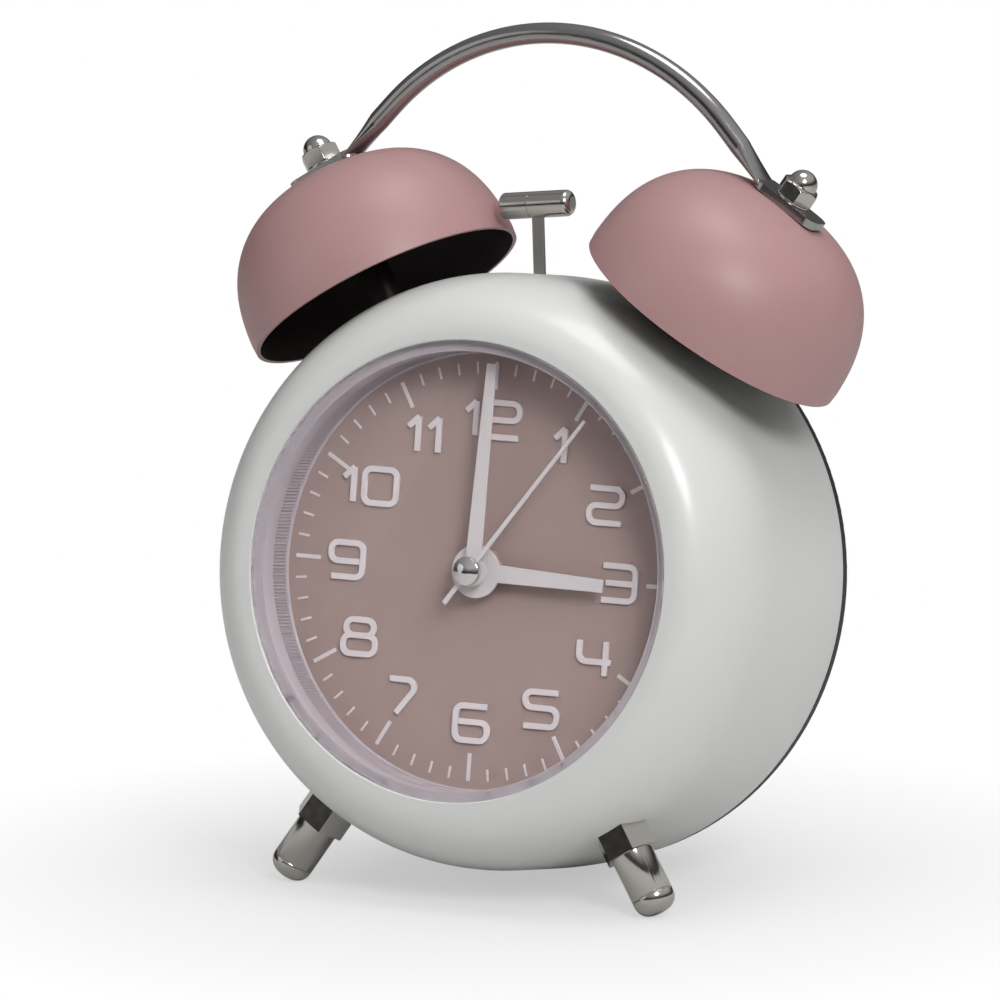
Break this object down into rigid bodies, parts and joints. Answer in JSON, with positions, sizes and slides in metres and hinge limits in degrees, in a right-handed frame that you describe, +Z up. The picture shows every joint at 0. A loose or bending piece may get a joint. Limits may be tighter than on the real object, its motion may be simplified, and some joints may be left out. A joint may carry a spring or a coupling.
{
  "type": "twin-bell alarm clock",
  "caption": "Round quartz alarm clock on splayed feet with a hammer between two domed bells, an arched carrying handle and a recessed dial behind a clear lens.",
  "frame": {"origin": "middle of the footprint box, on the surface the clock stands on", "axes": "+Z up, -Y towards the viewer of the dial, +X to the viewer's right; the dial leans back from the vertical by 9.8 degrees"},
  "size_m": [0.1286, 0.076, 0.1645],
  "materials": {
    "white_enamel": "satin white enamel",
    "pink_enamel": "matt dusty pink enamel",
    "dark_steel": "polished dark steel",
    "nickel": "bright nickel plate",
    "steel": "bright steel",
    "blackened_steel": "blackened, satin",
    "black_plastic": "fine textured black",
    "lavender_plastic": "glossy lavender grey",
    "dial_pink": "matt greyed pink",
    "white_print": "matt white",
    "hand_white": "matt white",
    "clear_lens": "clear, polished",
    "natural_plastic": "natural moulding",
    "brass": "turned",
    "copper": "lacquered wire",
    "board_green": "solder resist",
    "cell_wrap": "printed sleeve, plain"
  },
  "bodies": {
    "case": {"aa_cells": "cell_wrap", "acorn_nuts": "nickel", "alarm_switch_body": "black_plastic", "battery_contacts": "steel", "bell_motor": "steel", "bell_posts": "blackened_steel", "bell_washers": "nickel", "bracket_pins": "steel", "case_shell": "white_enamel", "circuit_board": "board_green", "coil": "copper", "dial": "dial_pink", "dial_light": "clear_lens", "dial_marks": "white_print", "dial_numerals": "white_print", "dial_support": "black_plastic", "feet": "nickel", "hammer_bracket": "natural_plastic", "handle": "dark_steel", "inner_nuts": "nickel", "inner_screws": "steel", "left_bell": "pink_enamel", "lens": "clear_lens", "light_button_spring": "steel", "light_switch": "board_green", "movement_front": "natural_plastic", "movement_nut": "dial_pink", "movement_rear": "natural_plastic", "rear_cover": "black_plastic", "rear_screws": "steel", "reflector_ring": "lavender_plastic", "right_bell": "pink_enamel", "stator": "steel"},
    "minute": {"minute_hand": "hand_white", "cannon_pinion": "brass"},
    "hour": {"hour_hand": "hand_white", "hour_wheel": "natural_plastic"},
    "minute_wheel": {"minute_wheel": "natural_plastic"},
    "time_setting": {"time_setting_stem": "steel", "time_setting_knob": "black_plastic"},
    "second": {"second_hand": "hand_white", "second_hand_cap": "nickel", "second_wheel": "brass"},
    "third_wheel": {"third_wheel": "natural_plastic"},
    "centre_wheel": {"centre_wheel": "natural_plastic"},
    "fifth_wheel": {"fifth_wheel": "natural_plastic"},
    "rotor": {"rotor": "steel"},
    "alarm": {"alarm_hand": "hand_white", "alarm_wheel": "natural_plastic"},
    "alarm_setting": {"alarm_setting_stem": "steel", "alarm_setting_knob": "black_plastic"},
    "hammer": {"hammer_arm": "steel", "hammer_bush": "natural_plastic", "hammer_head": "nickel", "hammer_head_cap": "nickel"},
    "drive_gear": {"drive_gear": "natural_plastic"},
    "motor_pinion": {"motor_pinion": "brass"},
    "light_button": {"light_button": "black_plastic"},
    "alarm_switch": {"alarm_switch_slider": "black_plastic"},
    "battery_door": {"battery_door": "black_plastic"}
  },
  "joints": [
    {"name": "minute_turn", "type": "hinge", "parent": "case", "child": "minute", "pos_m": [0, -0.02256, 0.06369], "axis": [0, 0.9853, -0.1706], "continuous": true},
    {"name": "hour_turn", "type": "hinge", "parent": "case", "child": "hour", "pos_m": [0, -0.02098, 0.06342], "axis": [0, 0.9853, -0.1706], "continuous": true},
    {"name": "minute_wheel_turn", "type": "hinge", "parent": "case", "child": "minute_wheel", "pos_m": [0.00846, -0.01001, 0.06464], "axis": [0, 0.9853, -0.1706], "continuous": true},
    {"name": "time_setting_turn", "type": "hinge", "parent": "case", "child": "time_setting", "pos_m": [0.01691, 0.01032, 0.06425], "axis": [0, 0.9853, -0.1706], "continuous": true},
    {"name": "second_turn", "type": "hinge", "parent": "case", "child": "second", "pos_m": [0, -0.02413, 0.06397], "axis": [0, 0.9853, -0.1706], "continuous": true},
    {"name": "third_wheel_turn", "type": "hinge", "parent": "case", "child": "third_wheel", "pos_m": [0.004, -0.00768, 0.05409], "axis": [0, 0.9853, -0.1706], "continuous": true},
    {"name": "centre_wheel_turn", "type": "hinge", "parent": "case", "child": "centre_wheel", "pos_m": [0, -0.00856, 0.06127], "axis": [0, 0.9853, -0.1706], "continuous": true},
    {"name": "fifth_wheel_turn", "type": "hinge", "parent": "case", "child": "fifth_wheel", "pos_m": [0.004, -0.00236, 0.06723], "axis": [0, 0.9853, -0.1706], "continuous": true},
    {"name": "rotor_turn", "type": "hinge", "parent": "case", "child": "rotor", "pos_m": [0.004, -0.00215, 0.07429], "axis": [0, 0.9853, -0.1706], "continuous": true},
    {"name": "alarm_setting_turn", "type": "hinge", "parent": "case", "child": "alarm_setting", "pos_m": [-0.00846, 0.00979, 0.06122], "axis": [0, 0.9853, -0.1706], "continuous": true},
    {"name": "alarm_turn", "type": "hinge", "parent": "case", "child": "alarm", "pos_m": [0, -0.0198, 0.06321], "axis": [0, 0.9853, -0.1706], "continuous": true},
    {"name": "hammer_swing", "type": "hinge", "parent": "case", "child": "hammer", "pos_m": [0, 0.00757, 0.09704], "axis": [0, 0.9853, -0.1706], "range_deg": [-2, 15]},
    {"name": "drive_gear_turn", "type": "hinge", "parent": "case", "child": "drive_gear", "pos_m": [0, 0.00779, 0.08482], "axis": [0, 0.9853, -0.1706], "continuous": true},
    {"name": "motor_pinion_turn", "type": "hinge", "parent": "case", "child": "motor_pinion", "pos_m": [0.00866, 0.00865, 0.08975], "axis": [0, 0.9853, -0.1706], "continuous": true},
    {"name": "light_button_press", "type": "slide", "parent": "case", "child": "light_button", "axis": [0, -0.9853, 0.1706], "range_m": [0, 0.0015], "stiffness_N_per_m": 100, "springref_m": -0.001, "deforming": ["light_button_spring"]},
    {"name": "alarm_switch_slide", "type": "slide", "parent": "case", "child": "alarm_switch", "axis": [1, 0, 0], "range_m": [0, 0.004]},
    {"name": "battery_door_slide", "type": "slide", "parent": "case", "child": "battery_door", "axis": [0, 0.9853, -0.1706], "range_m": [0, 0.012]}
  ],
  "couplings": [
    {"joint": "hour_turn", "follows": "minute_turn", "ratio": 0.083333},
    {"joint": "minute_wheel_turn", "follows": "minute_turn", "ratio": -0.33333},
    {"joint": "time_setting_turn", "follows": "minute_turn", "ratio": 1},
    {"joint": "third_wheel_turn", "follows": "second_turn", "ratio": -0.13333},
    {"joint": "centre_wheel_turn", "follows": "second_turn", "ratio": 0.016667},
    {"joint": "fifth_wheel_turn", "follows": "second_turn", "ratio": -4},
    {"joint": "rotor_turn", "follows": "second_turn", "ratio": 30},
    {"joint": "alarm_turn", "follows": "alarm_setting_turn", "ratio": -0.25},
    {"joint": "motor_pinion_turn", "follows": "drive_gear_turn", "ratio": -4}
  ]
}
